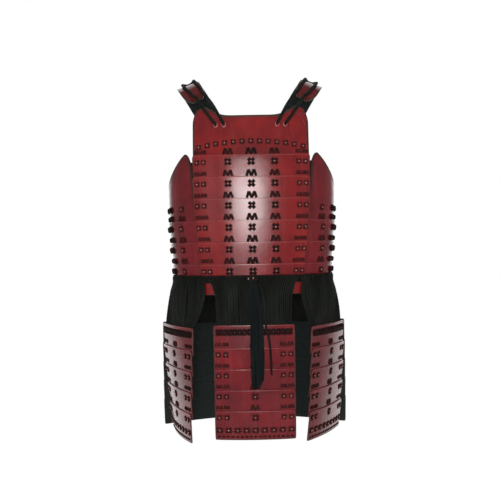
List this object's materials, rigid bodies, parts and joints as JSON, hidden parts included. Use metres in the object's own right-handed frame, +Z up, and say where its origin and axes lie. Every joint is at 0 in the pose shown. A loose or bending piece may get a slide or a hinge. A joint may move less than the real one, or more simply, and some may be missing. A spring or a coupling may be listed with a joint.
{
  "type": "leather body armour",
  "caption": "Laced red leather cuirass of overlapping lames with shoulder straps, a tied waist cord and five laced tassets hung on black cords, in its worn form.",
  "frame": {"origin": "midway between the two shoulder straps, at the height where they rest on the shoulders", "axes": "+Z up, -Y to the front, +X to the wearer's left"},
  "size_m": [0.4522, 0.3367, 0.8294],
  "materials": {
    "red_leather": "glossy dyed leather with dark brown cut edges, faint grain and pale scuffs",
    "strap_leather": "brown-red leather, half gloss, with raw edges",
    "black_cord": "matt black round braided cord",
    "lace": "flat black lacing cord, close woven",
    "stud": "small pale domed rivets, slightly tarnished",
    "leather_back": "dark flesh side of the leather, matt"
  },
  "bodies": {
    "root": {"back_lame_1": "red_leather", "back_lame_2": "red_leather", "back_lame_3": "red_leather", "back_lame_4": "red_leather", "back_lame_5": "red_leather", "back_lame_6": "red_leather", "back_plate": "red_leather", "chest_plate": "red_leather", "front_lame_1": "red_leather", "front_lame_2": "red_leather", "front_lame_3": "red_leather", "front_lame_4": "red_leather", "front_lame_5": "red_leather", "front_lame_6": "red_leather", "hanger_back_left": "black_cord", "hanger_back_right": "black_cord", "hanger_front": "black_cord", "hanger_left": "black_cord", "hanger_right": "black_cord", "left_shoulder_lace": "black_cord", "left_shoulder_strap": "strap_leather", "left_side_lame_1": "red_leather", "left_side_lame_2": "red_leather", "left_side_lame_3": "red_leather", "left_side_plate": "red_leather", "right_shoulder_lace": "black_cord", "right_shoulder_strap": "strap_leather", "right_side_lame_1": "red_leather", "right_side_lame_2": "red_leather", "right_side_lame_3": "red_leather", "right_side_plate": "red_leather", "tasset_back_left_lame_1": "red_leather", "tasset_back_left_lame_2": "red_leather", "tasset_back_left_lame_3": "red_leather", "tasset_back_left_lame_4": "red_leather", "tasset_back_left_lame_5": "red_leather", "tasset_back_right_lame_1": "red_leather", "tasset_back_right_lame_2": "red_leather", "tasset_back_right_lame_3": "red_leather", "tasset_back_right_lame_4": "red_leather", "tasset_back_right_lame_5": "red_leather", "tasset_front_lame_1": "red_leather", "tasset_front_lame_2": "red_leather", "tasset_front_lame_3": "red_leather", "tasset_front_lame_4": "red_leather", "tasset_front_lame_5": "red_leather", "tasset_left_lame_1": "red_leather", "tasset_left_lame_2": "red_leather", "tasset_left_lame_3": "red_leather", "tasset_left_lame_4": "red_leather", "tasset_left_lame_5": "red_leather", "tasset_right_lame_1": "red_leather", "tasset_right_lame_2": "red_leather", "tasset_right_lame_3": "red_leather", "tasset_right_lame_4": "red_leather", "tasset_right_lame_5": "red_leather", "waist_cord": "black_cord", "waist_cord_tail": "black_cord", "waist_knot_tassel": "black_cord"}
  },
  "joints": []
}
